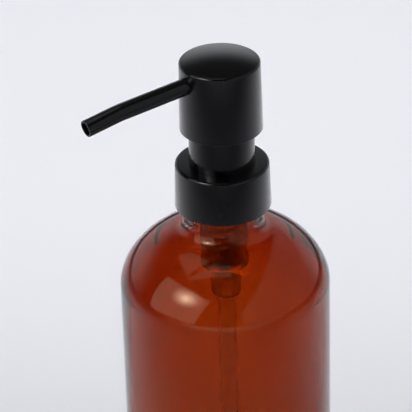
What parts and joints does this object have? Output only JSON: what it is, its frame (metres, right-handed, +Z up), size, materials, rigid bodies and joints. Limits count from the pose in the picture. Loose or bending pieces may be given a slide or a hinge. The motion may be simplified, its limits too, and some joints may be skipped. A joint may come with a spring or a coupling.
{
  "type": "soap pump dispenser",
  "caption": "Round amber glass bottle with a screw-on lotion pump: black metal collar, sleeve and domed head that swivels and presses, thin spout, spring, piston and dip tube.",
  "frame": {"origin": "centre of the bottle's flat base, on the axis of the bottle and the pump", "axes": "+Z up along the bottle's axis, -Y along the spout from the pump head to its tip, +X square to both"},
  "size_m": [0.075, 0.0916, 0.2135],
  "materials": {
    "amber_glass": "clear amber, polished",
    "black_metal": "satin black",
    "black_plastic": "moulded, satin",
    "natural_plastic": "moulded, semi-translucent",
    "clear_tube": "unpigmented, translucent",
    "gasket_foam": "closed-cell foam",
    "seal_rubber": "matte",
    "stainless_steel": "bright drawn"
  },
  "bodies": {
    "bottle": {"bottle": "amber_glass"},
    "pump": {"pump_housing": "clear_tube", "closure_gasket": "gasket_foam", "stem_guide": "natural_plastic", "stem_seal": "seal_rubber", "ball_cage": "natural_plastic", "dip_tube": "clear_tube", "return_spring": "stainless_steel"},
    "closure": {"screw_closure": "black_plastic", "collar_cover": "black_metal", "guide_sleeve": "black_metal"},
    "plunger": {"valve_rod": "natural_plastic"},
    "head": {"head_cover": "black_metal", "head_insert": "black_plastic", "stem": "natural_plastic", "spout_tube": "black_metal", "spout_liner": "black_plastic", "spout_seal": "seal_rubber"},
    "piston": {"piston": "natural_plastic"},
    "ball": {"inlet_ball": "stainless_steel"}
  },
  "joints": [
    {"name": "pump_lift", "type": "slide", "parent": "bottle", "child": "pump", "axis": [0, 0, 1], "range_m": [0, 0.0053]},
    {"name": "closure_turn", "type": "hinge", "parent": "pump", "child": "closure", "pos_m": [0, 0, 0.156], "axis": [0, 0, 1], "range_deg": [0, 450]},
    {"name": "pump_press", "type": "slide", "parent": "pump", "child": "plunger", "axis": [0, 0, -1], "range_m": [0, 0.012], "stiffness_N_per_m": 700, "springref_m": -0.006, "deforming": ["return_spring"]},
    {"name": "head_swivel", "type": "hinge", "parent": "plunger", "child": "head", "pos_m": [0, 0, 0.19], "axis": [0, 0, 1], "continuous": true},
    {"name": "piston_slip", "type": "slide", "parent": "plunger", "child": "piston", "axis": [0, 0, 1], "range_m": [0, 0.001]},
    {"name": "inlet_ball_lift", "type": "slide", "parent": "pump", "child": "ball", "axis": [0, 0, 1], "range_m": [0, 0.0015]}
  ],
  "couplings": [
    {"joint": "pump_lift", "follows": "closure_turn", "m_per_rad": 0.00067323}
  ]
}
